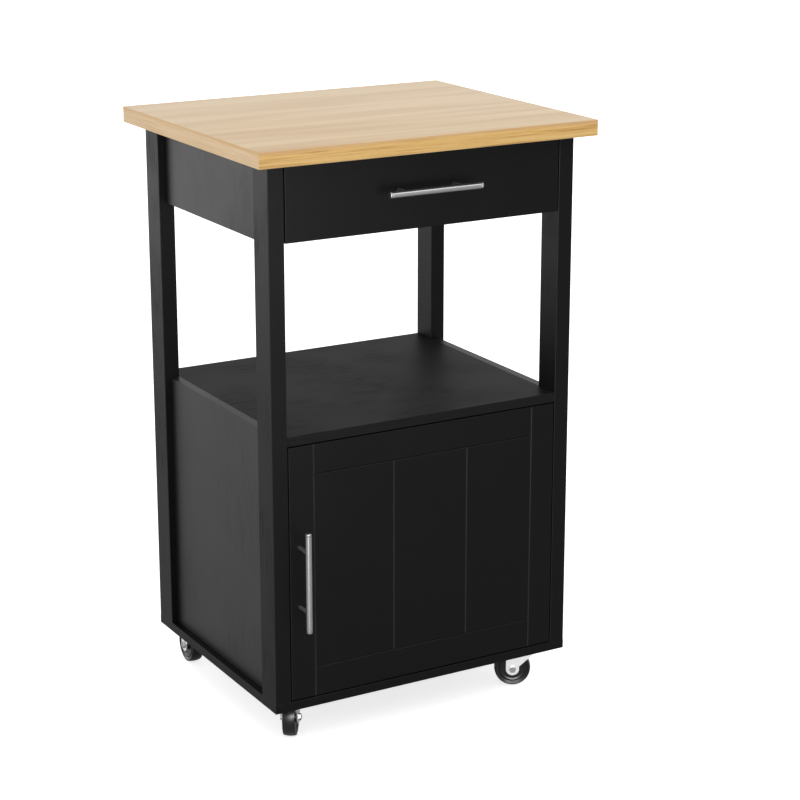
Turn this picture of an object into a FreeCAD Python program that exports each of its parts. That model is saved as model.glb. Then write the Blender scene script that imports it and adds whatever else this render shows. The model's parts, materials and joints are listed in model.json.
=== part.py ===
# Rolling kitchen cart: a wooden top on four posts, with a drawer, an open shelf and a cabinet with one door.
# Millimetres. X runs to the right, Y to the back and Z up. The floor is Z = 0.
import FreeCAD, Part
import math
import os

os.makedirs("parts", exist_ok=True)
vec = FreeCAD.Vector
right, back, up = vec(1, 0, 0), vec(0, 1, 0), vec(0, 0, 1)

# Worktop
top_width = 580.0
top_depth = 484.0
top_thickness = 25.0
top_edge_round = 1.0
front_overhang = 27.0
rear_overhang = 26.0
side_overhang = 26.0

# Carcass
post_width = 26.0
post_depth = 47.0
post_height = 836.0
post_edge_round = 1.0
board_edge_round = 0.6
panel_thickness = 15.0
bottom_thickness = 15.0
shelf_thickness = 15.0
cabinet_height = 410.5
apron_height = 122.0
back_panel_thickness = 3.0
back_panel_inset = 10.0
groove_depth = 5.0
groove_slack = 0.15
caster_height = 70.0

# Inner shelf of the cabinet and its pins
inner_shelf_level = 195.0
inner_shelf_setback = 42.0
inner_shelf_side_gap = 1.0
pin_radius = 2.5
pin_in_panel = 8.0
pin_reach = 9.0
pin_edge_distance = 40.0

# Door and drawer fronts
front_gap = 2.0
front_thickness = 15.0
front_edge_round = 0.8
stile_width = 41.5
rail_height = 47.5
groove_line_width = 2.4
groove_line_depth = 1.2
panel_line_shares = (0.381, 0.659)

# Bar handles
handle_length = 160.0
handle_centres = 96.0
handle_radius = 5.0
handle_end_round = 0.6
handle_standoff = 30.0
handle_post_radius = 3.0
handle_post_seat = 1.5
handle_post_fit = 0.03
handle_screw_radius = 2.0
handle_screw_bite = 10.0
handle_screw_head_radius = 4.2
handle_screw_head_height = 2.2
door_handle_edge_distance = 16.0
door_handle_drop = 4.0
drawer_handle_rise = 3.5

# Drawer box and its roller runners
drawer_front_height = 115.5
box_height = 82.0
box_rear_gap = 40.0
box_wall = 12.0
box_edge_round = 1.5
box_lift = 12.0
box_bottom_thickness = 3.0
box_bottom_lift = 9.0
box_groove_depth = 4.0
runner_gap = 12.5
runner_sheet = 1.2
runner_lip = 8.8
runner_foot = 10.0
rear_roller_radius = 7.2
rear_roller_play = 0.4
front_roller_radius = 9.0
roller_width = 6.0
roller_pin_radius = 2.0
roller_fit = 0.06
roller_pin_head = 1.0
front_roller_setback = 12.0
rear_roller_setback = 11.0
rolling_gap = 0.1
roller_side_gap = 0.3
runner_screw_share = 0.25

# Cup hinges. Places in plan are inward from the door's hinge edge and back from its front face.
cup_radius = 17.5
cup_sheet = 0.8
cup_depth = 12.0
cup_edge_margin = 3.0
cup_lip = 1.5
cup_notch_width = 8.0
cup_flange_sheet = 1.2
cup_flange_length = 60.0
cup_flange_width = 13.0
cup_screw_spacing = 48.0
cup_screw_offset = 9.5
hinge_end_distance = 75.0
long_arm_pin_in = 47.8
long_arm_pin_back = 32.7
long_cup_pin_in = 10.7
long_cup_pin_back = 12.9
short_arm_pin_in = 30.3
short_arm_pin_back = 10.0
short_cup_pin_in = 12.3
short_cup_pin_back = 8.2
hinge_pin_radius = 1.0
hinge_pin_fit = 0.06
hinge_stub_gap = 0.4
hinge_eye_radius = 2.3
short_eye_radius = 1.9
link_waist = 1.4
link_sheet = 1.2
short_link_half_width = 2.8
long_link_half_width = 6.0
short_link_bow = 2.7
arm_half_width = 4.4
arm_sheet = 1.2
arm_nose_radius = 2.9
arm_nose_rise = 7.6
arm_pin_boss = 4.2
arm_elbow_in = 24.0
arm_elbow_back = 50.0
arm_tail_in = 12.0
arm_tail_back = 75.0
hinge_plate_thickness = 2.0
hinge_plate_height = 48.0
hinge_plate_width = 18.0
hinge_screw_spacing = 34.0

# Swivel casters
caster_inset = 44.0
caster_plate_size = 46.0
caster_plate_sheet = 2.0
caster_plate_corner = 6.0
race_radius = 15.0
race_drop = 2.6
swivel_gap = 0.3
fork_sheet = 1.8
crown_radius = 17.0
kingpin_radius = 4.0
kingpin_fit = 0.06
kingpin_head_radius = 6.0
kingpin_head_height = 1.2
trail = 22.0
wheel_radius = 30.0
wheel_width = 20.0
wheel_edge_round = 5.0
wheel_crown = 1.0
wheel_bore_fit = 0.06
wheel_hub_radius = 8.5
wheel_side_gap = 0.4
wheel_dish = 2.4
wheel_ring_radius = 18.0
wheel_ring_width = 3.0
wheel_rim_width = 5.0
leg_end_radius = 10.8
leg_front_height = 14.0
leg_shoulder_height = 4.5
leg_root_depth = 5.5
leg_corner_round = 3.0
leg_top_reach = 20.0
axle_radius = 3.0
axle_fit = 0.05
axle_nut_flats = 10.0
nut_sides = 6
axle_nut_height = 3.2
axle_end = 1.2
nut_corner_round = 0.5
caster_screw_spacing = 34.0
trail_headings = {"front_left": 35.0, "front_right": -60.0, "rear_left": 2.0, "rear_right": 24.0}

# Fasteners
dowel_radius = 4.0
dowel_in_post = 20.0
dowel_in_board = 9.0
dowel_slack = 0.5
dowel_fit = 0.05
cam_radius = 7.5
cam_depth = 12.0
cam_setback = 24.0
cam_bolt_radius = 3.0
cam_bolt_head_radius = 3.6
cam_bolt_in_post = 12.0
cam_level_inset = 30.0
panel_dowel_inset = 60.0
drawer_dowel_radius = 3.0
drawer_dowel_in_wall = 8.0
drawer_dowel_inset = 18.0
screw_radius = 1.8
screw_fit = 0.05
screw_length = 12.0
screw_head_radius = 3.4
screw_head_height = 1.4

overrun = 2.0
straight_share = 0.999
corner_chord_share = 0.5
leg_root_share = 0.75

# Places that follow from the sizes above
carcass_width = top_width - side_overhang * 2
carcass_depth = top_depth - front_overhang - rear_overhang
handle_reach = handle_standoff + handle_radius
front_reach = max(handle_reach, front_overhang)
front_y = front_reach - (front_reach + carcass_depth + rear_overhang) / 2
rear_y = front_y + carcass_depth
half_width = carcass_width / 2
inner_x = half_width - post_width
bottom_low = caster_height
bottom_high = bottom_low + bottom_thickness
post_top = bottom_high + post_height
shelf_low = bottom_high + cabinet_height
shelf_high = shelf_low + shelf_thickness
apron_low = post_top - apron_height
door_left = -inner_x + front_gap
door_right = inner_x - front_gap
door_low = bottom_high + front_gap
door_high = shelf_low - front_gap
drawer_front_high = post_top - front_gap
drawer_front_low = drawer_front_high - drawer_front_height
front_back_y = front_y + front_thickness
box_outer_x = inner_x - runner_gap
box_low = drawer_front_low + box_lift
box_high = box_low + box_height
box_rear_y = rear_y - post_width - box_rear_gap
runner_length = box_rear_y - front_back_y

holes = {}
groups = {"dowels": [], "cam_locks": [], "cam_bolts": [], "wood_screws": [], "drawer_dowels": [],
          "drawer_runner_screws": [], "hinge_cup_screws": []}


def box(x_low, x_high, y_low, y_high, z_low, z_high):
    return Part.makeBox(x_high - x_low, y_high - y_low, z_high - z_low, vec(x_low, y_low, z_low))


def rod(radius, start, direction, length):
    return Part.makeCylinder(radius, length, start, direction)


def prism(points, sweep):
    return Part.Face(Part.makePolygon(points + points[:1])).extrude(sweep)


def soften(shape, radius, wanted):
    edges = [edge for edge in shape.Edges if wanted(edge)]
    return shape.makeFillet(radius, edges)


def along(edge, direction):
    line = edge.Vertexes[-1].Point - edge.Vertexes[0].Point
    return line.Length > 0 and abs(line.dot(direction)) > line.Length * straight_share


def drill(node, cutter):
    holes.setdefault(node, []).append(cutter)


def save(node, shape):
    for cutter in holes.get(node, []):
        shape = shape.cut(cutter)
    shape.exportStep("parts/" + node + ".step")


def save_group(node, shapes):
    for cutter in holes.get(node, []):
        shapes = [shape.cut(cutter) if shape.BoundBox.intersect(cutter.BoundBox) else shape for shape in shapes]
    Part.makeCompound(shapes).exportStep("parts/" + node + ".step")


# A dowel that joins two nodes where they meet. The axis points from the first node into the second.
def dowel(first, second, point, axis, first_depth, second_depth, radius=dowel_radius, group="dowels"):
    start = point - axis * first_depth
    groups[group].append(rod(radius - dowel_fit, start, axis, first_depth + second_depth))
    hole_start = start - axis * dowel_slack
    hole = rod(radius, hole_start, axis, first_depth + second_depth + dowel_slack * 2)
    drill(first, hole)
    drill(second, hole)


# A cam disc let into the panel's inner face, which draws in a bolt that is screwed into the post.
def cam_joint(panel, post, point, axis, inner_face):
    centre = point - axis * cam_setback
    cam_start = centre + inner_face * (panel_thickness / 2)
    cam = rod(cam_radius - dowel_fit, cam_start, inner_face * -1, cam_depth - dowel_slack)
    drill(panel, rod(cam_radius, cam_start, inner_face * -1, cam_depth))
    bolt_length = cam_setback + cam_bolt_in_post
    drill(panel, rod(cam_bolt_head_radius, centre, axis, cam_setback))
    drill(post, rod(cam_bolt_radius, point, axis, cam_bolt_in_post + dowel_slack))
    groups["cam_bolts"].append(rod(cam_bolt_radius - dowel_fit, centre, axis, bolt_length))
    mouth = rod(cam_bolt_head_radius, centre - axis * cam_bolt_radius, axis, cam_radius * 2)
    groups["cam_locks"].append(cam.cut(mouth))


# A pan-head screw. The point is on the surface under its head and the axis points into the wood.
def wood_screw(group, nodes, point, axis):
    shank = rod(screw_radius, point, axis, screw_length)
    head = rod(screw_head_radius, point - axis * screw_head_height, axis, screw_head_height)
    for node in nodes:
        drill(node, rod(screw_radius + screw_fit, point, axis, screw_length + dowel_slack))
    groups[group].append(head.fuse(shank).removeSplitter())


def post_place(side, end):
    x_low = -half_width if side == "left" else inner_x
    y_low = front_y if end == "front" else rear_y - post_depth
    return x_low, y_low


def make_worktop():
    slab = box(-top_width / 2, top_width / 2, front_y - front_overhang, rear_y + rear_overhang,
               post_top, post_top + top_thickness)
    save("worktop", soften(slab, top_edge_round, lambda edge: True))


def make_post(side, end):
    x_low, y_low = post_place(side, end)
    post = box(x_low, x_low + post_width, y_low, y_low + post_depth, bottom_high, post_top)
    post = soften(post, post_edge_round, lambda edge: along(edge, up))
    if end == "rear":
        inner = -inner_x if side == "left" else inner_x
        groove_y = rear_y - back_panel_inset - back_panel_thickness
        post = post.cut(box(inner - groove_depth, inner + groove_depth, groove_y - groove_slack,
                            groove_y + back_panel_thickness + groove_slack, bottom_high, shelf_low))
    save(end + "_" + side + "_post", post)


def make_panels():
    panel_low_y = front_y + post_depth
    panel_high_y = rear_y - post_depth
    for side, sign in (("left", -1), ("right", 1)):
        faces = sorted((sign * inner_x, sign * (inner_x + panel_thickness)))
        panel = box(faces[0], faces[1], panel_low_y, panel_high_y, bottom_high, shelf_high)
        save(side + "_side_panel", soften(panel, board_edge_round, lambda edge: True))
        apron = box(faces[0], faces[1], panel_low_y, panel_high_y, apron_low, post_top)
        save(side + "_apron", soften(apron, board_edge_round, lambda edge: True))
    apron_outer_y = rear_y - post_width + panel_thickness
    apron = box(-inner_x, inner_x, apron_outer_y - panel_thickness, apron_outer_y, apron_low, post_top)
    save("rear_apron", soften(apron, board_edge_round, lambda edge: True))
    reach = inner_x + groove_depth - dowel_slack
    back_y = rear_y - back_panel_inset
    save("back_panel", box(-reach, reach, back_y - back_panel_thickness, back_y, bottom_high, shelf_low))


def make_boards():
    bottom = box(-half_width, half_width, front_y, rear_y, bottom_low, bottom_high)
    save("bottom_board", soften(bottom, post_edge_round, lambda edge: along(edge, right) or along(edge, back)))
    shelf = box(-inner_x, inner_x, front_y, rear_y, shelf_low, shelf_high)
    save("middle_shelf", soften(shelf, board_edge_round, lambda edge: along(edge, right)))
    level = bottom_high + inner_shelf_level
    shelf_x = inner_x - inner_shelf_side_gap
    inner_rear = rear_y - back_panel_inset - back_panel_thickness - inner_shelf_side_gap
    inner = box(-shelf_x, shelf_x, front_y + inner_shelf_setback, inner_rear, level, level + shelf_thickness)
    save("inner_shelf", soften(inner, board_edge_round, lambda edge: True))


def make_shelf_pins():
    pins = []
    level = bottom_high + inner_shelf_level - pin_radius
    for side, sign in (("left", -1), ("right", 1)):
        for y in (front_y + post_depth + pin_edge_distance, rear_y - post_depth - pin_edge_distance):
            start = vec(sign * (inner_x - pin_reach), y, level)
            pins.append(rod(pin_radius, start, right * sign, pin_reach + pin_in_panel))
            hole_start = vec(sign * inner_x, y, level)
            hole_depth = pin_in_panel + dowel_slack
            drill(side + "_side_panel", rod(pin_radius + dowel_fit, hole_start, right * sign, hole_depth))
    save_group("shelf_pins", pins)


def carcass_joinery():
    for side, sign in (("left", -1), ("right", 1)):
        panel_x = sign * (inner_x + panel_thickness / 2)
        for end, turn in (("front", -1), ("rear", 1)):
            post = end + "_" + side + "_post"
            x_low, y_low = post_place(side, end)
            x, y = x_low + post_width / 2, y_low + post_depth / 2
            dowel("bottom_board", post, vec(x, y, bottom_high), up, dowel_in_board, dowel_in_post)
            dowel(post, "worktop", vec(x, y, post_top), up, dowel_in_post, dowel_in_board)
            joint_y = front_y + post_depth if end == "front" else rear_y - post_depth
            inner_face = right * -sign
            levels = (bottom_high + cam_level_inset, shelf_low - cam_level_inset)
            for level in levels:
                cam_joint(side + "_side_panel", post, vec(panel_x, joint_y, level), back * turn, inner_face)
            apron_place = vec(panel_x, joint_y, apron_low + cam_setback)
            cam_joint(side + "_apron", post, apron_place, back * turn, inner_face)
            board_y = joint_y - turn * panel_dowel_inset
            dowel("bottom_board", side + "_side_panel", vec(panel_x, board_y, bottom_high), up,
                  dowel_in_board, dowel_in_post)
            shelf_z = shelf_low + shelf_thickness / 2
            dowel("middle_shelf", side + "_side_panel", vec(sign * inner_x, board_y, shelf_z), right * sign,
                  dowel_in_post, dowel_in_board)
        corner = vec(sign * inner_x, rear_y - post_width + panel_thickness / 2, apron_low + apron_height / 2)
        cam_joint("rear_apron", "rear_" + side + "_post", corner, right * sign, back * -1)


# A V-shaped line cut into the face of a front, from one place on it to another
def scored_line(start, end):
    run = end - start
    deepening = (groove_line_depth + overrun) / groove_line_depth
    side = back.cross(run).normalize() * (groove_line_width / 2 * deepening)
    mouth = start - back * overrun
    return prism([mouth - side, start + back * groove_line_depth, mouth + side], run)


def front_lines(shape, x_low, x_high, z_low, z_high):
    rails = (z_low + rail_height, z_high - rail_height)
    lines = []
    for x in (x_low + stile_width, x_high - stile_width):
        lines.append((x, z_low - overrun, x, z_high + overrun))
    for z in rails:
        lines.append((x_low + stile_width, z, x_high - stile_width, z))
    for share in panel_line_shares:
        x = x_low + (x_high - x_low) * share
        lines.append((x, rails[0], x, rails[1]))
    for x, z, x_end, z_end in lines:
        shape = shape.cut(scored_line(vec(x, front_y, z), vec(x_end, front_y, z_end)))
    return shape


# The two posts of a bar handle are let into the bar, and each takes one screw through the front.
def make_handle(name, front_node, centre, bar_axis):
    reach = vec(0, -handle_standoff, 0)
    start = centre + reach - bar_axis * (handle_length / 2)
    bar = rod(handle_radius, start, bar_axis, handle_length)
    bar = soften(bar, handle_end_round, lambda edge: not along(edge, bar_axis))
    posts, screws = [], []
    for sign in (-1, 1):
        foot = centre + bar_axis * (sign * handle_centres / 2)
        post_length = handle_standoff - handle_radius + handle_post_seat
        post = rod(handle_post_radius, foot, back * -1, post_length)
        bar = bar.cut(rod(handle_post_radius + handle_post_fit, foot, back * -1, post_length))
        screw_start = foot + back * front_thickness
        shank = rod(handle_screw_radius, screw_start, back * -1, front_thickness + handle_screw_bite)
        head = rod(handle_screw_head_radius, screw_start, back, handle_screw_head_height)
        screws.append(head.fuse(shank).removeSplitter())
        hole_length = front_thickness + handle_screw_bite + dowel_slack
        hole = rod(handle_screw_radius + screw_fit, screw_start, back * -1, hole_length)
        posts.append(post.cut(hole))
        drill(front_node, hole)
    save(name + "_handle_bar", bar)
    save_group(name + "_handle_posts", posts)
    save_group(name + "_handle_screws", screws)


def make_door():
    door = box(door_left, door_right, front_y, front_back_y, door_low, door_high)
    door = soften(door, front_edge_round, lambda edge: edge.CenterOfMass.y < front_y + front_thickness / 2
                  and not along(edge, back))
    door = front_lines(door, door_left, door_right, door_low, door_high)
    middle = (door_low + door_high) / 2 - door_handle_drop
    make_handle("door", "door_panel", vec(door_left + door_handle_edge_distance, front_y, middle), up)
    save("door_panel", door)


def make_drawer_box():
    front = box(door_left, door_right, front_y, front_back_y, drawer_front_low, drawer_front_high)
    front = soften(front, front_edge_round, lambda edge: edge.CenterOfMass.y < front_y + front_thickness / 2
                   and not along(edge, back))
    middle = (drawer_front_low + drawer_front_high) / 2 + drawer_handle_rise
    make_handle("drawer", "drawer_front", vec(0, front_y, middle), right)
    inside_x = box_outer_x - box_wall
    floor_low = box_low + box_bottom_lift
    slot_x = inside_x + box_groove_depth
    slot_front = front_back_y - box_groove_depth
    slot_back = box_rear_y - box_wall + box_groove_depth
    slot = box(-slot_x, slot_x, slot_front, slot_back, floor_low - groove_slack,
               floor_low + box_bottom_thickness + groove_slack)
    floor_x = slot_x - dowel_slack
    floor = box(-floor_x, floor_x, slot_front + dowel_slack, slot_back - dowel_slack, floor_low,
                floor_low + box_bottom_thickness)
    for sign, side in ((-1, "drawer_left_side"), (1, "drawer_right_side")):
        for z in (box_low + drawer_dowel_inset, box_high - drawer_dowel_inset):
            dowel("drawer_front", side, vec(sign * (inside_x + box_wall / 2), front_back_y, z), back,
                  drawer_dowel_in_wall, dowel_in_post, drawer_dowel_radius, "drawer_dowels")
            dowel("drawer_back", side, vec(sign * inside_x, box_rear_y - box_wall / 2, z), right * sign,
                  dowel_in_post, drawer_dowel_in_wall, drawer_dowel_radius, "drawer_dowels")
    drill("drawer_front", slot)
    save("drawer_front", front)
    upper = box_high - box_edge_round
    for side, sign in (("left", -1), ("right", 1)):
        faces = sorted((sign * inside_x, sign * box_outer_x))
        wall = box(faces[0], faces[1], front_back_y, box_rear_y, box_low, box_high)
        wall = soften(wall, box_edge_round, lambda edge: along(edge, back) and edge.CenterOfMass.z > upper)
        save("drawer_" + side + "_side", wall.cut(slot))
    rear = box(-inside_x, inside_x, box_rear_y - box_wall, box_rear_y, box_low, box_high)
    rear = soften(rear, box_edge_round, lambda edge: along(edge, right) and edge.CenterOfMass.z > upper)
    save("drawer_back", rear.cut(slot))
    save("drawer_bottom", floor)


# Heights that the two halves of a runner share
track_low = box_low + runner_sheet / 2
track_high = track_low + rear_roller_radius * 2 + rear_roller_play
roller_z = track_low + rolling_gap + rear_roller_radius
flange_low = roller_z + front_roller_radius + rolling_gap
front_roller_y = front_back_y + front_roller_setback
rear_roller_y = front_back_y + runner_length - rear_roller_setback
web_x = inner_x - runner_sheet
lip_x = web_x - runner_lip
roller_outer_x = web_x - screw_head_height - roller_side_gap
roller_inner_x = roller_outer_x - roller_width
drawer_web_x = box_outer_x + runner_sheet


def make_fixed_runner(side, sign):
    y_low, y_high = front_back_y + swivel_gap, front_back_y + runner_length
    lip_front = front_roller_y + front_roller_radius + overrun
    faces = sorted((sign * web_x, sign * inner_x))
    runner = box(faces[0], faces[1], y_low, y_high, track_low - runner_sheet, track_high + runner_sheet)
    lips = sorted((sign * lip_x, sign * web_x))
    for z_low in (track_low - runner_sheet, track_high):
        runner = runner.fuse(box(lips[0], lips[1], lip_front, y_high, z_low, z_low + runner_sheet))
    pin_start = vec(sign * inner_x, front_roller_y, roller_z)
    pin = rod(roller_pin_radius, pin_start, right * -sign, inner_x - roller_inner_x + swivel_gap)
    head_start = vec(sign * (roller_inner_x - swivel_gap), front_roller_y, roller_z)
    head = rod(roller_pin_radius + roller_pin_head, head_start, right * -sign, roller_pin_head)
    runner = runner.fuse([pin, head]).removeSplitter()
    for y in (front_roller_y + runner_length * runner_screw_share, y_high - runner_length * runner_screw_share):
        wood_screw("wood_screws", [side + "_drawer_runner_fixed", side + "_apron"],
                   vec(sign * web_x, y, roller_z), right * sign)
    save(side + "_drawer_runner_fixed", runner)


def make_moving_runner(side, sign):
    y_low, y_high = front_back_y + swivel_gap, front_back_y + runner_length
    web = sorted((sign * box_outer_x, sign * drawer_web_x))
    runner = box(web[0], web[1], y_low, y_high, box_low - runner_sheet, flange_low + runner_sheet)
    foot = sorted((sign * (box_outer_x - runner_foot), sign * box_outer_x))
    flange = sorted((sign * drawer_web_x, sign * roller_outer_x))
    runner = runner.fuse(box(foot[0], foot[1], y_low, y_high, box_low - runner_sheet, box_low))
    runner = runner.fuse(box(flange[0], flange[1], y_low, y_high, flange_low, flange_low + runner_sheet))
    pin_start = vec(sign * box_outer_x, rear_roller_y, roller_z)
    pin = rod(roller_pin_radius, pin_start, right * sign, roller_outer_x - box_outer_x)
    runner = runner.fuse(pin).removeSplitter()
    for y in (y_low + runner_length * runner_screw_share, y_high - runner_length * runner_screw_share):
        wood_screw("drawer_runner_screws", [side + "_drawer_runner_moving", "drawer_" + side + "_side"],
                   vec(sign * (box_outer_x - runner_foot / 2), y, box_low - runner_sheet), up)
    save(side + "_drawer_runner_moving", runner)


def make_roller(name, sign, radius, y):
    start = vec(sign * roller_inner_x, y, roller_z)
    roller = rod(radius, start, right * sign, roller_width)
    save(name, roller.cut(rod(roller_pin_radius + roller_fit, start, right * sign, roller_width)))


def make_runners():
    for side, sign in (("left", -1), ("right", 1)):
        make_fixed_runner(side, sign)
        make_moving_runner(side, sign)
        make_roller(side + "_front_roller", sign, front_roller_radius, front_roller_y)
        make_roller(side + "_rear_roller", sign, rear_roller_radius, rear_roller_y)


# A point of the hinge in plan, measured inward from the door's hinge edge and back from its front face
def hinge_point(inward, backward, z):
    return vec(door_right - inward, front_y + backward, z)


def hinge_rod(place, radius, z, half_length):
    return rod(radius, hinge_point(place[0], place[1], z - half_length), up, half_length * 2)


# A flat bar with straight sides and round ends between two places in plan
def hinge_bar(first, second, radius, z_low, z_high):
    start = hinge_point(first[0], first[1], z_low)
    end = hinge_point(second[0], second[1], z_low)
    side = up.cross(end - start).normalize() * radius
    bar = prism([start + side, end + side, end - side, start - side], up * (z_high - z_low))
    for point in (start, end):
        bar = bar.fuse(rod(radius, point, up, z_high - z_low))
    return bar


# A link bar that bows to one side on its way between its two eyes
def bowed_bar(first, second, bow, z, half_width):
    start = hinge_point(first[0], first[1], z - half_width)
    end = hinge_point(second[0], second[1], z - half_width)
    side = up.cross(end - start).normalize()
    middle = (start + end) / 2 - side * bow
    near, far = side * link_waist, side * -link_waist
    edges = [Part.Arc(start + near, middle + near, end + near).toShape(), Part.makeLine(end + near, end + far)]
    edges.append(Part.Arc(end + far, middle + far, start + far).toShape())
    edges.append(Part.makeLine(start + far, start + near))
    return Part.Face(Part.Wire(edges)).extrude(up * (half_width * 2))


long_arm_pin = (long_arm_pin_in, long_arm_pin_back)
long_cup_pin = (long_cup_pin_in, long_cup_pin_back)
short_arm_pin = (short_arm_pin_in, short_arm_pin_back)
short_cup_pin = (short_cup_pin_in, short_cup_pin_back)
arm_elbow = (arm_elbow_in, arm_elbow_back)
arm_tail = (arm_tail_in, arm_tail_back)
hinge_levels = (door_low + hinge_end_distance, door_high - hinge_end_distance)


# The long link is two cheeks outside the arm, riveted to the pin that turns in the arm.
def make_long_link(z):
    link = hinge_rod(long_arm_pin, hinge_pin_radius, z, long_link_half_width)
    for z_low in (z - long_link_half_width, z + long_link_half_width - link_sheet):
        cheek = hinge_bar(long_arm_pin, long_cup_pin, link_waist, z_low, z_low + link_sheet)
        for place in (long_arm_pin, long_cup_pin):
            cheek = cheek.fuse(hinge_rod(place, hinge_eye_radius, z_low + link_sheet / 2, link_sheet / 2))
        link = link.fuse(cheek)
    return link.cut(hinge_rod(long_cup_pin, hinge_pin_radius + hinge_pin_fit, z, cup_radius)).removeSplitter()


def make_short_link(z):
    link = bowed_bar(short_arm_pin, short_cup_pin, short_link_bow, z, short_link_half_width)
    for place, radius in ((short_arm_pin, hinge_eye_radius), (short_cup_pin, short_eye_radius)):
        link = link.fuse(hinge_rod(place, radius, z, short_link_half_width))
        link = link.cut(hinge_rod(place, hinge_pin_radius + hinge_pin_fit, z, short_link_half_width))
    return link.removeSplitter()


# The arm is two cheeks and a web. Its nose dips into the cup and its tail clips over the plate on the panel.
def make_arm(z):
    nose_bend = (short_arm_pin_in, short_arm_pin_back + arm_nose_rise)
    arm = hinge_rod(short_arm_pin, hinge_pin_radius, z, arm_half_width)
    stretches = ((short_arm_pin, nose_bend, arm_nose_radius), (nose_bend, long_arm_pin, arm_nose_radius),
                 (long_arm_pin, arm_elbow, arm_pin_boss), (arm_elbow, arm_tail, arm_pin_boss))
    for z_low in (z - arm_half_width, z + arm_half_width - arm_sheet):
        for first, second, radius in stretches:
            arm = arm.fuse(hinge_bar(first, second, radius, z_low, z_low + arm_sheet))
    for first, second in ((long_arm_pin, arm_elbow), (arm_elbow, arm_tail)):
        start = hinge_point(first[0], first[1], z - arm_half_width)
        end = hinge_point(second[0], second[1], z - arm_half_width)
        side = up.cross(end - start).normalize()
        outer, inner = side * arm_pin_boss, side * (arm_pin_boss - arm_sheet)
        web = [start + outer, end + outer, end + inner, start + inner]
        arm = arm.fuse(prism(web, up * (arm_half_width * 2)))
    arm = arm.cut(hinge_rod(long_arm_pin, hinge_pin_radius + hinge_pin_fit, z, arm_half_width))
    return arm.removeSplitter()


# The plate is screwed to the side panel, and its riser fills the arm's channel between the two cheeks.
def make_hinge_plate(z):
    y_high = front_y + arm_tail_back - arm_pin_boss
    y_low = y_high - hinge_plate_width
    plate = box(inner_x - hinge_plate_thickness, inner_x, y_low, y_high,
                z - hinge_plate_height / 2, z + hinge_plate_height / 2)
    inner_half = arm_half_width - arm_sheet
    saddle = hinge_bar(arm_tail, arm_elbow, arm_pin_boss - arm_sheet, z - inner_half, z + inner_half)
    saddle = saddle.common(box(door_right - arm_elbow_in, inner_x, y_low, y_high,
                               z - inner_half, z + inner_half))
    riser = box(door_right - arm_tail_in, inner_x, y_low, y_high, z - inner_half, z + inner_half)
    for sign in (-1, 1):
        point = vec(inner_x - hinge_plate_thickness, (y_low + y_high) / 2, z + sign * hinge_screw_spacing / 2)
        wood_screw("wood_screws", ["hinge_plates", "right_side_panel"], point, right)
    return plate.fuse([saddle, riser]).removeSplitter()


# The cup's pins are stubs from its wall, so that the short link swings between them.
def make_cup(z):
    centre = vec(door_right - cup_edge_margin - cup_radius, front_back_y, z)
    wing_x = centre.x - cup_screw_offset
    cup = rod(cup_radius + cup_lip, centre, back, cup_flange_sheet)
    cup = cup.cut(box(door_right - cup_notch_width, door_right, front_back_y, front_back_y + cup_flange_sheet,
                      z - cup_radius - cup_lip, z + cup_radius + cup_lip))
    cup = cup.fuse(rod(cup_radius, centre, back * -1, cup_depth))
    cup = cup.fuse(box(wing_x - cup_flange_width / 2, wing_x + cup_flange_width / 2, front_back_y,
                       front_back_y + cup_flange_sheet, z - cup_flange_length / 2, z + cup_flange_length / 2))
    cup = cup.cut(rod(cup_radius - cup_sheet, centre + back * cup_flange_sheet, back * -1,
                      cup_depth + cup_flange_sheet - cup_sheet))
    shell = rod(cup_radius - cup_sheet / 2, centre, back * -1, cup_depth)
    stub_start = short_link_half_width + hinge_stub_gap
    for place in (long_cup_pin, short_cup_pin):
        pin = hinge_rod(place, hinge_pin_radius, z, cup_radius)
        pin = pin.cut(hinge_rod(place, hinge_eye_radius, z, stub_start))
        cup = cup.fuse(pin.common(shell))
    hole_depth = cup_depth + overrun + dowel_fit
    drill("door_panel", rod(cup_radius + dowel_fit, centre + back * overrun, back * -1, hole_depth))
    for sign in (-1, 1):
        point = vec(wing_x, front_back_y + cup_flange_sheet, z + sign * cup_screw_spacing / 2)
        wood_screw("hinge_cup_screws", ["hinge_cups", "door_panel"], point, back * -1)
    return cup.removeSplitter()


def make_hinges():
    makers = {"hinge_arms": make_arm, "hinge_plates": make_hinge_plate, "hinge_long_links": make_long_link,
              "hinge_short_links": make_short_link, "hinge_cups": make_cup}
    for node, maker in makers.items():
        save_group(node, [maker(z) for z in hinge_levels])


def caster_places():
    for end, y in (("front", front_y + caster_inset), ("rear", rear_y - caster_inset)):
        for side, x in (("left", -half_width + caster_inset), ("right", half_width - caster_inset)):
            yield end + "_" + side, x, y


# Heights and half widths that the swivel and the fork share
crown_top = caster_height - caster_plate_sheet - race_drop - swivel_gap
crown_low = crown_top - fork_sheet
fork_half_gap = wheel_width / 2 + wheel_side_gap * 3
fork_half_width = fork_half_gap + fork_sheet


# The top plate, its pressed race and the riveted kingpin are one piece.
def make_caster_plate(x, y):
    half = caster_plate_size / 2
    plate_low = caster_height - caster_plate_sheet
    plate = box(x - half, x + half, y - half, y + half, plate_low, caster_height)
    plate = soften(plate, caster_plate_corner, lambda edge: along(edge, up))
    race = rod(race_radius, vec(x, y, plate_low - race_drop), up, race_drop)
    pin_low = crown_low - swivel_gap
    pin = rod(kingpin_radius, vec(x, y, pin_low), up, plate_low - pin_low)
    head = rod(kingpin_head_radius, vec(x, y, pin_low - kingpin_head_height), up, kingpin_head_height)
    reach = caster_screw_spacing / 2
    for across in (-reach, reach):
        for along_y in (-reach, reach):
            point = vec(x + across, y + along_y, plate_low)
            wood_screw("wood_screws", ["caster_plates", "bottom_board"], point, up)
    return plate.fuse([race, pin, head]).removeSplitter()


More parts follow.
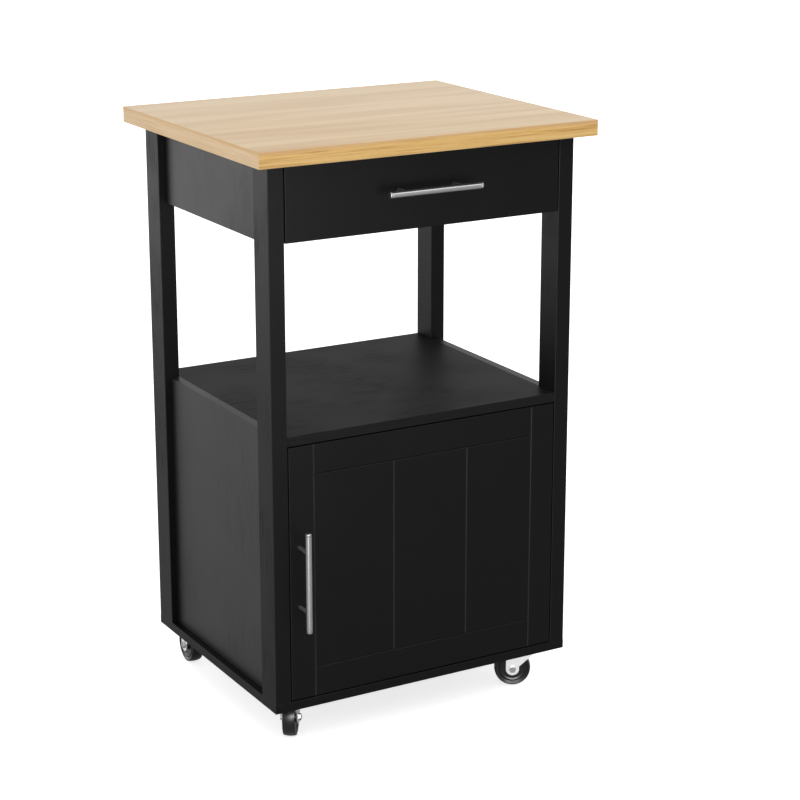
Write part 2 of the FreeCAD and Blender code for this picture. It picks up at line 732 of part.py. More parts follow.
# The fork is drawn with its trail along +Y at the origin, and turned to its heading afterwards.
def make_fork():
    leg_x = -fork_half_width
    root_y = -crown_radius * leg_root_share
    rear_edge, front_edge = trail - leg_end_radius, trail + leg_end_radius
    outline = [vec(leg_x, root_y, crown_top), vec(leg_x, root_y, crown_low - leg_root_depth),
               vec(leg_x, rear_edge, wheel_radius + leg_shoulder_height), vec(leg_x, rear_edge, wheel_radius),
               vec(leg_x, front_edge, wheel_radius), vec(leg_x, front_edge, wheel_radius + leg_front_height),
               vec(leg_x, leg_top_reach, crown_top)]
    leg = soften(prism(outline, right * fork_sheet), leg_corner_round, lambda edge: along(edge, right)
                 and wheel_radius < edge.CenterOfMass.z < crown_low)
    leg = leg.fuse(rod(leg_end_radius, vec(leg_x, trail, wheel_radius), right, fork_sheet))
    deck = box(leg_x, fork_half_width, root_y, leg_top_reach, crown_low, crown_top)
    fork = rod(crown_radius, vec(0, 0, crown_low), up, fork_sheet)
    fork = fork.fuse([deck, leg, leg.translated(right * (fork_half_width * 2 - fork_sheet))])
    fork = fork.cut(rod(kingpin_radius + kingpin_fit, vec(0, 0, 0), up, caster_height))
    fork = fork.cut(rod(axle_radius + axle_fit, vec(leg_x, trail, wheel_radius), right, fork_half_width * 2))
    return fork.removeSplitter()


# Half of the wheel's section, turned about the axle: hub, dished side with a raised ring, and round-edged tread
def make_wheel():
    half = wheel_width / 2
    rim_in = wheel_radius - wheel_rim_width
    ring_out = wheel_ring_radius + wheel_ring_width / 2
    ring_in = wheel_ring_radius - wheel_ring_width / 2
    hub_half = half + wheel_side_gap
    dish = half - wheel_dish
    ring = half - wheel_dish / 2
    tread_radius = wheel_radius - wheel_crown
    corner = wheel_edge_round * (1 - math.sqrt(corner_chord_share))
    right_side = [vec(hub_half, 0, 0), vec(hub_half, 0, wheel_hub_radius), vec(dish, 0, wheel_hub_radius),
                  vec(dish, 0, ring_in), vec(ring, 0, ring_in), vec(ring, 0, ring_out), vec(dish, 0, ring_out),
                  vec(dish, 0, rim_in), vec(half, 0, rim_in), vec(half, 0, tread_radius - wheel_edge_round)]
    left_side = [vec(-point.x, 0, point.z) for point in reversed(right_side)]
    shoulder = vec(half - wheel_edge_round, 0, tread_radius)
    other = vec(-shoulder.x, 0, tread_radius)
    edges = []
    for points in (right_side, left_side):
        for first, second in zip(points, points[1:]):
            edges.append(Part.makeLine(first, second))
    mid_right = vec(half - corner, 0, tread_radius - corner)
    mid_left = vec(corner - half, 0, tread_radius - corner)
    edges.insert(len(right_side) - 1, Part.Arc(right_side[-1], mid_right, shoulder).toShape())
    edges.insert(len(right_side), Part.Arc(shoulder, vec(0, 0, wheel_radius), other).toShape())
    edges.insert(len(right_side) + 1, Part.Arc(other, mid_left, left_side[0]).toShape())
    edges.append(Part.makeLine(left_side[-1], right_side[0]))
    wheel = Part.Face(Part.Wire(edges)).revolve(vec(0, 0, 0), right, 360)
    bore = rod(axle_radius + wheel_bore_fit, vec(-wheel_width, 0, 0), right, wheel_width * 2)
    wheel = wheel.cut(bore)
    wheel.translate(vec(0, trail, wheel_radius))
    return wheel


# A bolt with a six-sided head, and the nut on its far end
def make_axle():
    start = -fork_half_width - axle_nut_height
    shank_length = fork_half_width * 2 + axle_nut_height * 2 + axle_end
    shank = rod(axle_radius, vec(start, trail, wheel_radius), right, shank_length)
    head = six_sided(vec(start, trail, wheel_radius))
    nut = six_sided(vec(fork_half_width, trail, wheel_radius))
    nut = nut.cut(rod(axle_radius + axle_fit, vec(0, trail, wheel_radius), right, fork_half_width * 2))
    return Part.makeCompound([head.fuse(shank).removeSplitter(), nut])


# The block of a bolt head or a nut, whose corners are turned off by a round-edged disc
def six_sided(start):
    corner_radius = axle_nut_flats / math.sqrt(3)
    points = []
    for step in range(nut_sides):
        angle = math.tau * step / nut_sides
        points.append(start + vec(0, corner_radius * math.cos(angle), corner_radius * math.sin(angle)))
    disc = soften(rod(corner_radius, start, right, axle_nut_height), nut_corner_round, lambda edge: True)
    return prism(points, right * axle_nut_height).common(disc)


def make_casters():
    fork, wheel, axle = make_fork(), make_wheel(), make_axle()
    plates = []
    for name, x, y in caster_places():
        plates.append(make_caster_plate(x, y))
        for part, shape in (("fork", fork), ("wheel", wheel), ("axle", axle)):
            placed = shape.copy()
            placed.rotate(vec(0, 0, 0), up, -trail_headings[name])
            placed.translate(vec(x, y, 0))
            save(name + "_caster_" + part, placed)
    save_group("caster_plates", plates)


carcass_joinery()
make_hinges()
make_casters()
make_shelf_pins()
make_runners()
make_door()
make_drawer_box()
make_worktop()
for side in ("left", "right"):
    for end in ("front", "rear"):
        make_post(side, end)
make_panels()
make_boards()
for group, shapes in groups.items():
    save_group(group, shapes)
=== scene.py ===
import bmesh
import bpy
import json
import math
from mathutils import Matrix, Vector


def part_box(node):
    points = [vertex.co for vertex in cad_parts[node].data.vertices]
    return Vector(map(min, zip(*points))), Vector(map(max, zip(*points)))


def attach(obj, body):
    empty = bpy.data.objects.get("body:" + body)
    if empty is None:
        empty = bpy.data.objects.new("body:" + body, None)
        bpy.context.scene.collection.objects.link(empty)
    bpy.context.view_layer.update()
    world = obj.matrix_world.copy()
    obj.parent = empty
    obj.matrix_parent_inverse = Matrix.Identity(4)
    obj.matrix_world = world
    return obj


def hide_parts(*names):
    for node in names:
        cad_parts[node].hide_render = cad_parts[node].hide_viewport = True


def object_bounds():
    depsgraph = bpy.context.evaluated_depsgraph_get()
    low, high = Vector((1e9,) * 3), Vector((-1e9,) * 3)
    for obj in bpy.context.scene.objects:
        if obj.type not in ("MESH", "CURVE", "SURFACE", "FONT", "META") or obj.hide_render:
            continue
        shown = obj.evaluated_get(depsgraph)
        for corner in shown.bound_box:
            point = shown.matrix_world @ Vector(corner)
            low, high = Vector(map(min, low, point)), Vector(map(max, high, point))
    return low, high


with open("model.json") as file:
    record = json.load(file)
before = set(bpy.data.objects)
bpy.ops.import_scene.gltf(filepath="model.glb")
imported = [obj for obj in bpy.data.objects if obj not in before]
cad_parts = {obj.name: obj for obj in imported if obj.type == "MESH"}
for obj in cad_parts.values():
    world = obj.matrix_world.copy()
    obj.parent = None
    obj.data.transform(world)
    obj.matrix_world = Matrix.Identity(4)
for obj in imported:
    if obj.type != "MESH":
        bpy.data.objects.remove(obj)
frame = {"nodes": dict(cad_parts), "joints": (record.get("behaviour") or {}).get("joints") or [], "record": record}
cadLow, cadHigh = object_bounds()
nodes = frame["nodes"]
record = frame["record"]
slotOf = {part["node"]: part["material_slot"] for part in record["subparts"]}
bodyOf = {node: body for body, members in record["behaviour"]["bodies"].items() for node in members}
print("frame loaded:", len(nodes), "nodes")

black, white = (0, 0, 0), (1, 1, 1)
noiseMiddle = 0.5  # the value that a noise wavers round


# One socket of a node. A sum written on it adds the Math nodes that work it out.
class Wire:
    def __init__(self, finish, out):
        self.finish = finish
        self.out = out

    def maths(self, operation, *values):
        return self.finish.add("ShaderNodeMath", {"operation": operation}, values)

    def __add__(self, other):
        return self.maths("ADD", self, other)

    def __sub__(self, other):
        return self.maths("SUBTRACT", self, other)

    def __rsub__(self, other):
        return self.maths("SUBTRACT", other, self)

    def __mul__(self, other):
        return self.maths("MULTIPLY", self, other)

    __radd__ = __add__
    __rmul__ = __mul__


# The nodes of one material, or of the world
class Finish:
    def __init__(self, owner):
        owner.use_nodes = True
        self.owner = owner
        self.tree = owner.node_tree
        self.shader = self.tree.nodes.get("Principled BSDF")

    def add(self, kind, settings, values, output=0):
        node = self.tree.nodes.new(kind)
        for key, value in settings.items():
            if key == "stops":
                self.setStops(node.color_ramp.elements, value)
            else:
                setattr(node, key, value)
        pairs = values.items() if isinstance(values, dict) else enumerate(values)
        for key, value in pairs:
            self.feed(node.inputs[key], value)
        return Wire(self, node.outputs[output]) if node.outputs else None

    def setStops(self, stops, wanted):
        while len(stops) < len(wanted):
            stops.new(1)
        for stop, (place, colour) in zip(stops, wanted):
            stop.position = place
            stop.color = (*colour, 1)

    def feed(self, socket, value):
        if isinstance(value, Wire):
            self.tree.links.new(value.out, socket)
        else:
            socket.default_value = value

    def set(self, **values):
        for key, value in values.items():
            self.feed(self.shader.inputs[key.replace("_", " ")], value)

    def vectors(self, operation, first, second, output="Vector"):
        return self.add("ShaderNodeVectorMath", {"operation": operation}, [first, second], output)

    # Noise whose cells are as long as 1 / stretch along each axis of the object, in metres
    def noise(self, stretch, detail, rough=0.55, bend=0.0):
        place = self.vectors("MULTIPLY", self.add("ShaderNodeTexCoord", {}, {}, "Object"), stretch)
        values = {"Vector": place, "Scale": 1.0, "Detail": detail, "Roughness": rough, "Distortion": bend}
        return self.add("ShaderNodeTexNoise", {}, values, "Fac")

    def spread(self, factor, low, high):
        values = {"Value": factor, "From Min": low, "From Max": high}
        return self.add("ShaderNodeMapRange", {"clamp": True}, values, "Result")

    def ramp(self, factor, stops):
        return self.add("ShaderNodeValToRGB", {"stops": stops}, [factor], "Color")

    # The Mix node has like sockets for numbers and vectors, so its colour sockets go by their places
    def mix(self, factor, first, second):
        first, second = (value if isinstance(value, Wire) else (*value, 1) for value in (first, second))
        return self.add("ShaderNodeMix", {"data_type": "RGBA"}, {0: factor, 6: first, 7: second}, 2)

    def bump(self, height, strength, depth):
        values = {"Strength": strength, "Distance": depth, "Height": height}
        self.set(Normal=self.add("ShaderNodeBump", {}, values, "Normal"))


# A stretch for noise that runs along one axis: 0 is X, 1 is Y and 2 is Z
def lengthwise(axis, across, length):
    return tuple(length if step == axis else across for step in range(3))


# The worktop's wood: soft broad bands, growth lines and short dark pores, all along one axis. Widths and
# lengths are stretches of noise, so a larger one is finer. The pores' are times the lines'.
topFace = {"streak": (0.63, 0.44, 0.255), "honey": (0.685, 0.505, 0.31), "pale": (0.725, 0.555, 0.36),
           "streakAt": 0.36, "honeyAt": 0.46, "paleAt": 0.58,
           "bandWidth": 22, "bandLength": 1.3, "bandNoise": {"detail": 3, "rough": 0.5, "bend": 0.5},
           "lineWidth": 260, "lineLength": 4.5, "lineNoise": {"detail": 4, "rough": 0.65, "bend": 0.2},
           "poreWidth": 4, "poreLength": 6, "poreNoise": {"detail": 2, "rough": 0.5},
           "bandShare": 0.74, "poreSpan": (0.62, 0.8), "pores": 0.12, "poreDulling": 0.14,
           "roughness": 0.38, "gloss": 0.42, "relief": 0.06, "poreRelief": 0.4, "depth": 0.0004}
drawerWood = dict(topFace, pale=(0.72, 0.55, 0.36), honey=(0.62, 0.45, 0.27), streak=(0.48, 0.32, 0.17),
                  roughness=0.45)
dowelWood = dict(topFace, pale=(0.7, 0.5, 0.3), honey=(0.6, 0.4, 0.22), streak=(0.45, 0.28, 0.14),
                 roughness=0.6)

# An edge of the worktop also has a ridge: a darker stripe that fades out below the top face
topEdge = dict(topFace, streak=(0.5, 0.26, 0.08), honey=(0.76, 0.46, 0.15), pale=(0.82, 0.55, 0.22),
               bandWidth=70, lineWidth=700, lineLength=9, bandShare=0.25, pores=0.4, roughness=0.5,
               gloss=0.12, ridge=(0.66, 0.4, 0.2), ridgeDepth=0.006, ridgeBend=2, ridgeFade=0.4,
               ridgeShare=0.75)
endGrain = dict(topEdge, streak=(0.69, 0.45, 0.24), honey=(0.82, 0.58, 0.34), pale=(0.88, 0.66, 0.43),
                ridge=(0.72, 0.46, 0.2), ridgeDepth=0.009, roughness=0.6)


def grainedWood(name, look, axis):
    wood = Finish(bpy.data.materials.new(name))
    across, along = look["lineWidth"], look["lineLength"]
    fine = lengthwise(axis, across * look["poreWidth"], along * look["poreLength"])
    bands = wood.noise(lengthwise(axis, look["bandWidth"], look["bandLength"]), **look["bandNoise"])
    lines = wood.noise(lengthwise(axis, across, along), **look["lineNoise"])
    pores = wood.noise(fine, **look["poreNoise"])
    tone = bands * look["bandShare"] + lines * (1 - look["bandShare"])
    colour = wood.ramp(tone, [(look[tint + "At"], look[tint]) for tint in ("streak", "honey", "pale")])
    if "ridge" in look:
        deep, top = look["ridgeDepth"], cadHigh[2]
        place = wood.add("ShaderNodeTexCoord", {}, {}, "Object")
        height = wood.add("ShaderNodeSeparateXYZ", {}, [place], "Z")
        height = height - (bands - noiseMiddle) * (deep * look["ridgeBend"])
        ridge = wood.spread(height, top - deep, top - deep * look["ridgeFade"])
        colour = wood.mix(ridge * look["ridgeShare"], colour, look["ridge"])
    flecks = wood.spread(pores, *look["poreSpan"]) * look["pores"]
    wood.set(Base_Color=wood.mix(flecks, colour, look["streak"]))
    wood.set(Roughness=look["roughness"] + pores * look["poreDulling"])
    wood.set(Specular_IOR_Level=look["gloss"])
    height = lines * (1 - look["poreRelief"]) + pores * look["poreRelief"]
    wood.bump(height, look["relief"], look["depth"])
    return wood.owner


# Black boards: satin paint that lets a little of the grain through in patches, with a painted highlight,
# a lighter grey, on upright edges and upright scored lines
blackPaint = {"colour": (0.0036, 0.0036, 0.0038), "grain": (0.001, 0.001, 0.0011),
              "edgeHighlight": (0.03, 0.03, 0.031), "roughness": 0.38, "sheen": 0.08,
              "grainWidth": 650, "grainLength": 26, "grainNoise": {"detail": 3, "rough": 0.6},
              "patch": 7.0, "patchNoise": {"detail": 2, "rough": 0.5},
              "grainSpan": (0.5, 0.64), "patchSpan": (0.48, 0.62), "dulling": 0.2, "patchDulling": 0.08,
              "relief": 0.1, "depth": 0.0003}
thinBoardPaint = dict(blackPaint, roughness=0.5)
shelfPaint = dict(blackPaint, colour=(0.009, 0.009, 0.0095), roughness=0.46, sheen=0.05, dulling=0.1)
apronPaint = dict(blackPaint, colour=(0.008, 0.008, 0.0085), sheen=0.14, dulling=0.05, relief=0.04)
panelPaint = dict(apronPaint, sheen=0.2)


def paintedBoard(name, look, axis):
    paint = Finish(bpy.data.materials.new(name))
    grain = paint.noise(lengthwise(axis, look["grainWidth"], look["grainLength"]), **look["grainNoise"])
    patch = paint.noise((look["patch"],) * 3, **look["patchNoise"])
    marks = paint.spread(grain, *look["grainSpan"]) * paint.spread(patch, *look["patchSpan"])
    facing = paint.add("ShaderNodeTexCoord", {}, {}, "Normal")
    squares = paint.vectors("MULTIPLY", facing, facing)
    sideways = paint.vectors("DOT_PRODUCT", squares, (1, 0, 0), "Value")
    forwards = paint.vectors("DOT_PRODUCT", squares, (0, 1, 0), "Value")
    slanted = sideways * forwards * 4  # 1 on a facet that looks halfway between the side and the front
    covered = paint.mix(marks, look["colour"], look["grain"])
    # painted highlight: the slanted facets of upright edges and scored lines are mixed to a lighter grey
    paint.set(Base_Color=paint.mix(slanted, covered, look["edgeHighlight"]))
    paint.set(Roughness=look["roughness"] + patch * look["patchDulling"] + marks * look["dulling"])
    paint.set(Specular_IOR_Level=look["sheen"])
    paint.bump(grain, look["relief"], look["depth"])
    return paint.owner


# Metals with fine lines and a soft cloud. The handle bars are turned, so that their lines run round them.
plainMetal = {"lineNoise": {"detail": 3, "rough": 0.6}, "lineShare": 0.7, "lineDulling": 0.16,
              "cloud": 70, "cloudNoise": {"detail": 2}, "cloudDulling": 0.08, "darkest": 0.84,
              "depth": 0.0001}
handleSteel = dict(plainMetal, colour=(0.26, 0.26, 0.265), roughness=0.34, lineWidth=90, lineLength=5000,
                   relief=0.2)
handlePost = dict(plainMetal, colour=(0.4, 0.4, 0.405), roughness=0.4, lineWidth=900, lineLength=900,
                  relief=0.1)
boltZinc = dict(plainMetal, colour=(0.6, 0.61, 0.63), roughness=0.3, lineWidth=900, lineLength=300,
                relief=0.08)
axleZinc = dict(boltZinc, colour=(0.36, 0.37, 0.39), roughness=0.36)
brightZinc = dict(plainMetal, colour=(0.95, 0.955, 0.96), roughness=0.34, lineWidth=500, lineLength=160,
                  relief=0.05)
hingeNickel = dict(plainMetal, colour=(0.66, 0.64, 0.6), roughness=0.22, lineWidth=800, lineLength=200,
                   relief=0.05)


def metalFinish(name, look, axis):
    metal = Finish(bpy.data.materials.new(name))
    lines = metal.noise(lengthwise(axis, look["lineWidth"], look["lineLength"]), **look["lineNoise"])
    cloud = metal.noise((look["cloud"],) * 3, **look["cloudNoise"])
    dull = tuple(value * look["darkest"] for value in look["colour"])
    bright = lines * look["lineShare"] + cloud * (1 - look["lineShare"])
    metal.set(Base_Color=metal.mix(bright, dull, look["colour"]), Metallic=1.0)
    metal.set(Roughness=look["roughness"] + (lines - noiseMiddle) * look["lineDulling"]
              + (cloud - noiseMiddle) * look["cloudDulling"])
    metal.bump(lines, look["relief"], look["depth"])
    return metal.owner


# Moulded plastics
plainPlastic = {"fine": 1500, "cloud": 60, "noise": {"detail": 2}, "darkest": 0.8, "cloudDulling": 0.1,
                "depth": 0.0002}
wheelBlack = dict(plainPlastic, colour=(0.001, 0.001, 0.0012), roughness=0.25, gloss=0.36, relief=0.003)
rollerNylon = dict(plainPlastic, colour=(0.8, 0.8, 0.77), roughness=0.36, gloss=0.5, relief=0.03)
runnerWhite = dict(plainPlastic, colour=(0.78, 0.78, 0.76), roughness=0.4, gloss=0.5, relief=0.08)


def mouldedPlastic(name, look):
    plastic = Finish(bpy.data.materials.new(name))
    fine = plastic.noise((look["fine"],) * 3, **look["noise"])
    cloud = plastic.noise((look["cloud"],) * 3, **look["noise"])
    darker = tuple(value * look["darkest"] for value in look["colour"])
    plastic.set(Base_Color=plastic.mix(cloud, darker, look["colour"]))
    plastic.set(Roughness=look["roughness"] + cloud * look["cloudDulling"])
    plastic.set(Specular_IOR_Level=look["gloss"])
    plastic.bump(fine, look["relief"], look["depth"])
    return plastic.owner


finishes = {"oak_worktop": grainedWood("worktopFace", topFace, 0),
            "black_board": paintedBoard("paintedAcross", blackPaint, 0),
            "thin_board": paintedBoard("thinBoardBlack", thinBoardPaint, 0),
            "drawer_board": grainedWood("drawerWood", drawerWood, 1),
            "dowel_wood": grainedWood("dowelWood", dowelWood, 2),
            "brushed_handle": metalFinish("handleSteelUp", handleSteel, 2),
            "zinc_hardware": metalFinish("boltZinc", boltZinc, 0),
            "bright_zinc": metalFinish("brightZinc", brightZinc, 2),
            "nickel_hinge": metalFinish("hingeNickel", hingeNickel, 2),
            "white_runner": mouldedPlastic("runnerWhite", runnerWhite),
            "nylon_roller": mouldedPlastic("rollerNylon", rollerNylon),
            "black_wheel": mouldedPlastic("wheelBlack", wheelBlack)}

# The nodes whose names end so have a finish of their own
ownFinishes = {"_handle_posts": metalFinish("handlePostSatin", handlePost, 1),
               "_axle": metalFinish("axleZinc", axleZinc, 0),
               "drawer_back": grainedWood("drawerBackWood", drawerWood, 0),
               "_post": paintedBoard("paintedUpright", blackPaint, 2),
               "_side_panel": paintedBoard("paintedPanel", panelPaint, 2),
               "_apron": paintedBoard("paintedApron", apronPaint, 2),
               "_shelf": paintedBoard("paintedShelf", shelfPaint, 0)}

for name, piece in nodes.items():
    own = [finish for ending, finish in ownFinishes.items() if name.endswith(ending)]
    piece.data.materials.clear()
    piece.data.materials.append(own[0] if own else finishes[slotOf[name]])
print("finishes made")


# A piece made here that stands for a node, on the node's own body and with its slot
def standFor(name, bm, materials, node, sharpDegrees):
    mesh = bpy.data.meshes.new(name)
    bm.normal_update()
    bm.to_mesh(mesh)
    bm.free()
    mesh.shade_smooth()
    mesh.set_sharp_from_angle(angle=math.radians(sharpDegrees))
    for material in materials:
        mesh.materials.append(material)
    piece = bpy.data.objects.new(name, mesh)
    bpy.context.scene.collection.objects.link(piece)
    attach(piece, bodyOf[node])
    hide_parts(node)


# The worktop is one slab with slightly eased edges. Its ends and long edges show stronger grain than
# its face.
worktop = {"edgeRound": 0.0011, "roundSteps": 3, "roundProfile": 0.5, "sharpDegrees": 34}
worktopWoods = [finishes["oak_worktop"], grainedWood("worktopEnd", endGrain, 1),
                grainedWood("worktopFront", topEdge, 0)]


def makeWorktop(look, woods):
    low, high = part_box("worktop")
    bm = bmesh.new()
    bmesh.ops.create_cube(bm, size=1)
    for corner in bm.verts:
        corner.co = Vector(high[axis] if corner.co[axis] > 0 else low[axis] for axis in range(3))
    bmesh.ops.bevel(bm, geom=bm.edges[:], offset=look["edgeRound"], segments=look["roundSteps"],
                    profile=look["roundProfile"], affect="EDGES")
    bm.normal_update()
    for face in bm.faces:
        sideways, forwards, upwards = (abs(share) for share in face.normal)
        if max(sideways, forwards) > upwards:
            face.material_index = 1 if sideways > forwards else 2  # the end's wood or the long edge's
    standFor("worktop_slab", bm, woods, "worktop", look["sharpDegrees"])


# A profile of corners, each as far along the axis, as far out from it, and rounded over so great a reach
def rounded(corners, steps):
    points = [Vector(corners[0][:2])]
    for before, corner, after in zip(corners, corners[1:], corners[2:]):
        here = Vector(corner[:2])
        into, out = here - Vector(before[:2]), Vector(after[:2]) - here
        start = here - into.normalized() * min(corner[2], into.length / 2)
        end = here + out.normalized() * min(corner[2], out.length / 2)
        for step in range(steps + 1):
            share = step / steps
            points.append(start * (1 - share) ** 2 + here * (2 * share * (1 - share)) + end * share ** 2)
    points.append(Vector(corners[-1][:2]))
    return points


# Turns a profile about an axis. A hollow one is closed along its bore, and a solid one by its two ends.
def turned(profile, centre, axis, steps, hollow):
    side = axis.orthogonal().normalized()
    other = axis.cross(side)
    bm = bmesh.new()
    rings = []
    for along, around in profile:
        angles = (math.tau * step / steps for step in range(steps))
        spokes = (side * math.cos(angle) + other * math.sin(angle) for angle in angles)
        rings.append([bm.verts.new(centre + axis * along + spoke * around) for spoke in spokes])
    pairs = list(zip(rings, rings[1:]))
    if hollow:
        pairs.append((rings[-1], rings[0]))
    else:
        bm.faces.new(rings[0])
        bm.faces.new(rings[-1])
    for first, second in pairs:
        for step in range(steps):
            after = (step + 1) % steps
            bm.faces.new((first[step], first[after], second[after], second[step]))
    bmesh.ops.recalc_face_normals(bm, faces=bm.faces[:])
    return bm


# Handle bars: softly domed ends, and two fine rings cut near each end
handleBar = {"dome": 0.0018, "endFlatShare": 0.4, "ringAt": (0.0032, 0.0046), "ringWidth": 0.0005,
             "ringDepth": 0.00022, "steps": 64, "cornerSteps": 4, "sharpDegrees": 50}


def makeBar(name, node, look, axis, material):
    low, high = (Vector(corner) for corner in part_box(node))
    length = high[axis] - low[axis]
    radius = min(high[other] - low[other] for other in range(3) if other != axis) / 2
    half, groove = look["ringWidth"] / 2, radius - look["ringDepth"]
    corners = [(0, radius * look["endFlatShare"], 0), (0, radius, look["dome"])]
    for place in look["ringAt"]:
        corners += [(place - half, radius, 0), (place, groove, 0), (place + half, radius, 0)]
    corners += [(length - along, around, reach) for along, around, reach in reversed(corners)]
    along = Vector(1 if step == axis else 0 for step in range(3))
    start = (low + high) / 2 - along * length / 2
    bar = turned(rounded(corners, look["cornerSteps"]), start, along, look["steps"], False)
    standFor(name, bar, [material], node, look["sharpDegrees"])


# Caster wheels: a hub, a dished side with a sloped ring, and a sloped rim that curves into a crowned tread
wheelShape = {"hub": 0.0085, "dishDepth": 0.0024, "ringFrom": 0.0178, "ringTo": 0.0206, "ringRise": 0.0016,
              "ringFall": 0.0014, "rimFrom": 0.0232, "rimTo": 0.0268, "rimInset": 0.0004, "crown": 0.001,
              "treadCorner": 0.003, "soften": 0.0006, "steps": 96, "cornerSteps": 4, "sharpDegrees": 50}


def makeWheel(joint, look):
    node = joint["child"].replace("_wheel", "_caster_wheel")
    centre, axis = Vector(joint["pos_m"]), Vector(joint["axis"])
    spokes = [corner.co - centre for corner in nodes[node].data.vertices]
    hubFace = max(abs(spoke.dot(axis)) for spoke in spokes)
    reaches = [(spoke - axis * spoke.dot(axis)).length for spoke in spokes]
    bore, radius = min(reaches), max(reaches)
    face, soft = hubFace - look["rimInset"], look["soften"]
    dish = face - look["dishDepth"]
    ring = dish + look["ringRise"]
    tread = radius - look["crown"]
    crest = radius + look["crown"] / 3  # the rounded tread then just reaches the wheel's radius
    side = [(hubFace, bore, 0), (hubFace, look["hub"], soft), (dish, look["hub"], soft),
            (dish, look["ringFrom"], soft), (ring, look["ringTo"], soft),
            (dish, look["ringTo"] + look["ringFall"], soft), (dish, look["rimFrom"], soft),
            (face, look["rimTo"], soft), (face, tread, look["treadCorner"])]
    corners = side + [(0, crest, face)]
    corners += [(-along, around, reach) for along, around, reach in reversed(side)]
    wheel = turned(rounded(corners, look["cornerSteps"]), centre, axis, look["steps"], True)
    standFor(node + "_turned", wheel, [finishes["black_wheel"]], node, look["sharpDegrees"])


makeWorktop(worktop, worktopWoods)
makeBar("door_handle_turned_bar", "door_handle_bar", handleBar, 2, finishes["brushed_handle"])
handleSteelAcross = metalFinish("handleSteelAcross", handleSteel, 0)
makeBar("drawer_handle_turned_bar", "drawer_handle_bar", handleBar, 0, handleSteelAcross)
print("worktop and handles made")
for joint in frame["joints"]:
    if joint["name"].endswith("_wheel_spin"):
        makeWheel(joint, wheelShape)
print("wheels made")


# The floor, the sky and the sun. The floor is white to the camera, apart from the cart's faint shadow.
studio = {"floorColour": (0.82, 0.82, 0.82), "floorRoughness": 0.9, "floorSize": 60.0, "seenLift": 0.75,
          "mirroredLift": 0.15, "skyLevel": 0.74, "sunFrom": (-0.1, -0.75, 1.3), "sunAngle": 45,
          "sunStrength": 0.72}


def makeFloor(look):
    half = look["floorSize"] / 2
    corners = [(-half, -half, 0), (half, -half, 0), (half, half, 0), (-half, half, 0)]
    mesh = bpy.data.meshes.new("floor")
    mesh.from_pydata(corners, [], [(0, 1, 2, 3)])
    floor = bpy.data.objects.new("floor", mesh)
    bpy.context.scene.collection.objects.link(floor)
    pale = Finish(bpy.data.materials.new("paleFloor"))
    seen = pale.add("ShaderNodeLightPath", {}, {}, "Is Camera Ray")
    mirrored = pale.add("ShaderNodeLightPath", {}, {}, "Is Glossy Ray")
    pale.set(Base_Color=(*look["floorColour"], 1), Roughness=look["floorRoughness"])
    pale.set(Specular_IOR_Level=0.0, Emission_Strength=1.0)
    lift = seen * look["seenLift"] + mirrored * look["mirroredLift"]
    pale.set(Emission_Color=pale.mix(lift, black, white))
    mesh.materials.append(pale.owner)


# The world is white to the camera and in reflections, and lights the cart at the sky's level
def makeWorld(look):
    world = bpy.data.worlds.new("studioWorld")
    bpy.context.scene.world = world
    sky = Finish(world)
    sky.tree.nodes.clear()
    kinds = ("Is Camera Ray", "Is Glossy Ray", "Is Transmission Ray")
    camera, glossy, through = (sky.add("ShaderNodeLightPath", {}, {}, kind) for kind in kinds)
    seen = sky.add("ShaderNodeMath", {"operation": "MAXIMUM"}, [camera, glossy])
    seen = sky.add("ShaderNodeMath", {"operation": "MAXIMUM"}, [seen, through])
    values = {"Value": seen, "To Min": look["skyLevel"], "To Max": 1.0}
    level = sky.add("ShaderNodeMapRange", {}, values, "Result")
    back = sky.add("ShaderNodeBackground", {}, {"Color": (*white, 1), "Strength": level}, "Background")
    sky.add("ShaderNodeOutputWorld", {}, {"Surface": back})


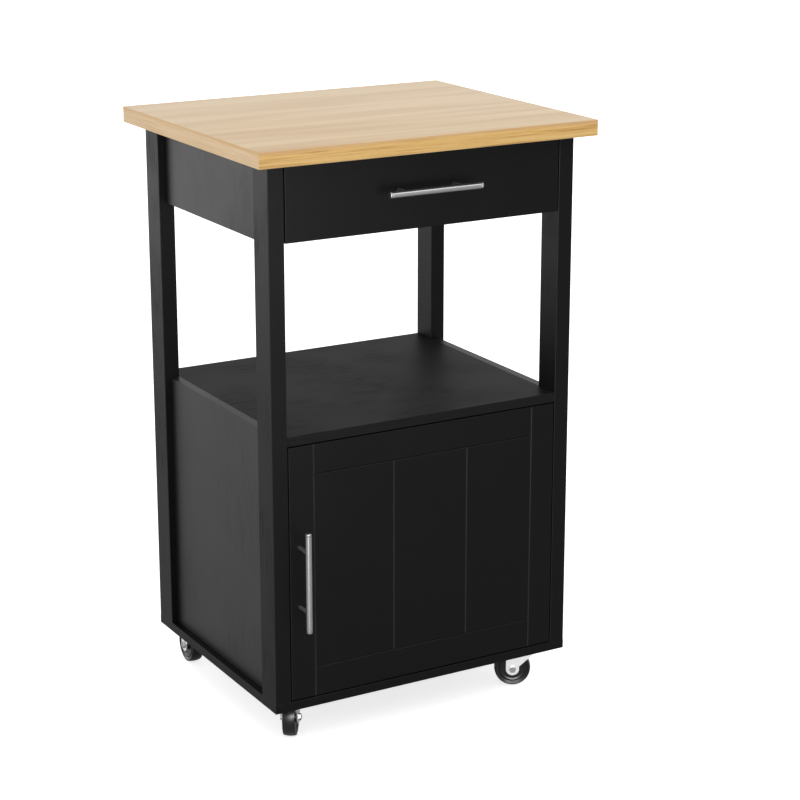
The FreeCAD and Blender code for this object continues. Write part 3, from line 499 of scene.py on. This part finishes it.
# The cards only show in reflections, as sheen on the painted boards, the metal and the wheels. The side
# and wheel cards stay below the worktop, so that its face never mirrors them. The middle shelf does
# mirror the wheel card, and looks almost white on one side from low behind on the right.
cards = {"sideCard": {"place": (-2.0, 2.4, 0.5), "width": 2.4, "height": 0.84, "glow": 3.0,
                      "towards": (0, 0, 0.5)},
         "barCard": {"place": (-0.58, -0.74, 0.37), "width": 0.2, "height": 0.7, "glow": 4.5,
                     "towards": (-0.22, -0.25, 0.37)},
         "wheelCard": {"place": (-0.45, -1.4, 0.68), "width": 1.3, "height": 0.45, "glow": 18.0,
                       "towards": (0, -0.2, 0.03)},
         "topCard": {"place": (0.6, -1.35, 2.3), "width": 2.4, "height": 1.4, "glow": 3.0,
                     "towards": (0.1, -0.25, 0.7)}}


def hang(name, lamp, place, towards):
    holder = bpy.data.objects.new(name, lamp)
    holder.location = place
    holder.rotation_euler = (Vector(towards) - Vector(place)).to_track_quat("-Z", "Y").to_euler()
    bpy.context.scene.collection.objects.link(holder)
    return holder


def makeSun(look):
    sun = bpy.data.lights.new("softSun", "SUN")
    sun.angle = math.radians(look["sunAngle"])
    sun.energy = look["sunStrength"]
    hang("softSun", sun, look["sunFrom"], (0, 0, 0))


def makeCard(name, look):
    lamp = bpy.data.lights.new(name, "AREA")
    lamp.shape = "RECTANGLE"
    lamp.size = look["width"]
    lamp.size_y = look["height"]
    lamp.energy = look["glow"] * math.pi * look["width"] * look["height"]
    holder = hang(name, lamp, look["place"], look["towards"])
    holder.visible_diffuse = False
    holder.visible_camera = False


makeFloor(studio)
makeWorld(studio)
makeSun(studio)
for name, card in cards.items():
    makeCard(name, card)

# The camera stands where the photograph's did, tilted down at the cart
photoCamera = {"place": (-1.6418, -2.9808, 1.4881), "yaw": 29.961, "pitch": 15.885, "focalPixels": 2195,
               "imagePixels": 800, "shiftUp": -0.03}


def makeCamera(look):
    lens = bpy.data.cameras.new("photoCamera")
    lens.lens = look["focalPixels"] / look["imagePixels"] * lens.sensor_width
    lens.shift_y = look["shiftUp"]
    holder = bpy.data.objects.new("photoCamera", lens)
    holder.location = look["place"]
    holder.rotation_euler = (math.radians(90 - look["pitch"]), 0, math.radians(-look["yaw"]))
    bpy.context.scene.collection.objects.link(holder)
    bpy.context.scene.camera = holder


makeCamera(photoCamera)
bpy.context.scene.view_settings.view_transform = "Standard"
print("studio made")
